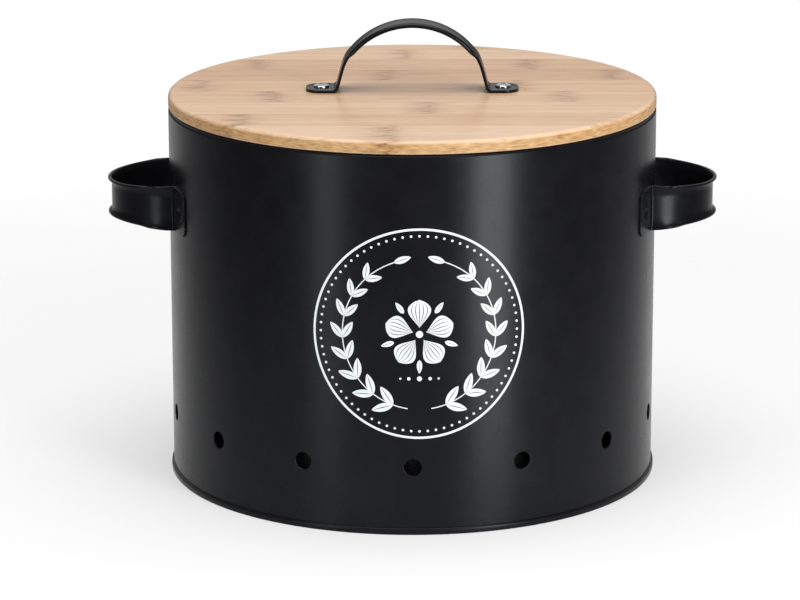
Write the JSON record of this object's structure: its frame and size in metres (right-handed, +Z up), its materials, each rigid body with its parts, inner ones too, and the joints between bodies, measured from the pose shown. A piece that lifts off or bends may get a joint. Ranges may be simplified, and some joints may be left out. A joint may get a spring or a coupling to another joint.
{
  "type": "potato storage bin",
  "caption": "Round sheet-steel storage bin with low air holes, rolled-edge strap handles on its sides and a lift-off bamboo lid with an arched steel handle.",
  "frame": {"origin": "centre of the ring that the bin stands on, at floor level", "axes": "+Z up, -Y to the front, side handles at -X and +X"},
  "size_m": [0.301, 0.2422, 0.225],
  "materials": {
    "black_powder_coat": "satin powder coat",
    "charcoal_powder_coat": "fine-textured matt powder coat",
    "bamboo": "sanded and oiled, laminated strips",
    "zinc_plated_steel": "bright zinc plate"
  },
  "bodies": {
    "bin": {"body_wall": "black_powder_coat", "base_pan": "black_powder_coat", "left_handle": "black_powder_coat", "right_handle": "black_powder_coat"},
    "lid": {"lid_board": "bamboo", "lid_handle": "charcoal_powder_coat", "lid_screw_left": "zinc_plated_steel", "lid_screw_right": "zinc_plated_steel"}
  },
  "joints": [
    {"name": "lid_lift", "type": "slide", "parent": "bin", "child": "lid", "axis": [0, 0, 1], "range_m": [0, 0.2]}
  ]
}
